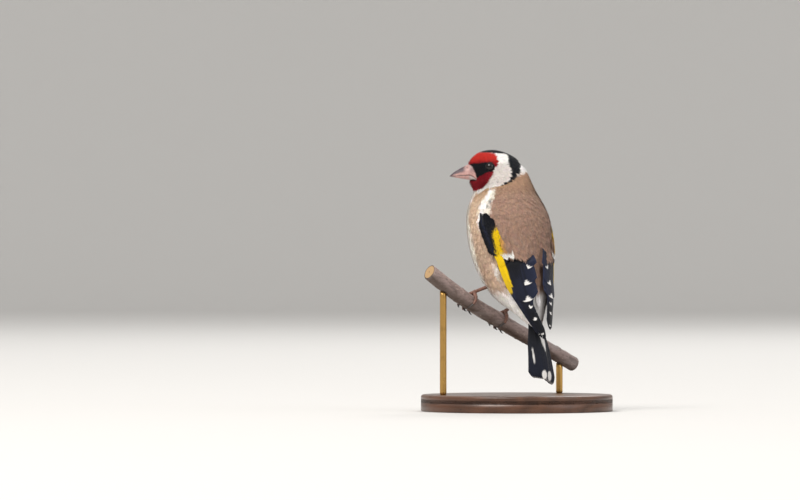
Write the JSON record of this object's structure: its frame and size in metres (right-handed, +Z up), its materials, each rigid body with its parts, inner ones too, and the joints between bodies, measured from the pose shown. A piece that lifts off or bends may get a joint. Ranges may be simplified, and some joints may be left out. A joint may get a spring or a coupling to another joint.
{
  "type": "perched goldfinch figure",
  "caption": "Life-size European goldfinch gripping a short cut length of branch, head turned to its left, held above a round base by slim rods.",
  "frame": {"origin": "centre of the stand's underside", "axes": "+Z up; the bird's breast faces -Y and its left side +X, with its head turned to its left; the perch runs along X, higher at +X"},
  "size_m": [0.092, 0.092, 0.1256],
  "materials": {
    "body_plumage": "soft brown and buff feathers",
    "head_plumage": "velvety crimson, white and black feathers",
    "bill": "smooth horn, pinkish ivory with a grey tip",
    "eye": "wet, very dark brown",
    "wing_plumage": "black feathers with a yellow band and white tips",
    "tail_plumage": "black feathers with white spots",
    "leg": "scaly skin",
    "claw": "dark horn",
    "bark": "thin grey-brown bark",
    "stand_wood": "satin varnished walnut",
    "stand_brass": "satin"
  },
  "bodies": {
    "root": {"torso": "body_plumage", "neck": "body_plumage", "head": "head_plumage", "bill_upper": "bill", "bill_lower": "bill", "eye_left": "eye", "eye_right": "eye", "wing_left": "wing_plumage", "wing_right": "wing_plumage", "tail": "tail_plumage", "leg_left": "leg", "foot_left": "leg", "leg_right": "leg", "foot_right": "leg", "perch": "bark", "stand_base": "stand_wood", "stand_rod_high": "stand_brass", "stand_rod_low": "stand_brass", "claw_inner_left": "claw", "claw_middle_left": "claw", "claw_outer_left": "claw", "claw_hind_left": "claw", "claw_inner_right": "claw", "claw_middle_right": "claw", "claw_outer_right": "claw", "claw_hind_right": "claw"}
  },
  "joints": []
}
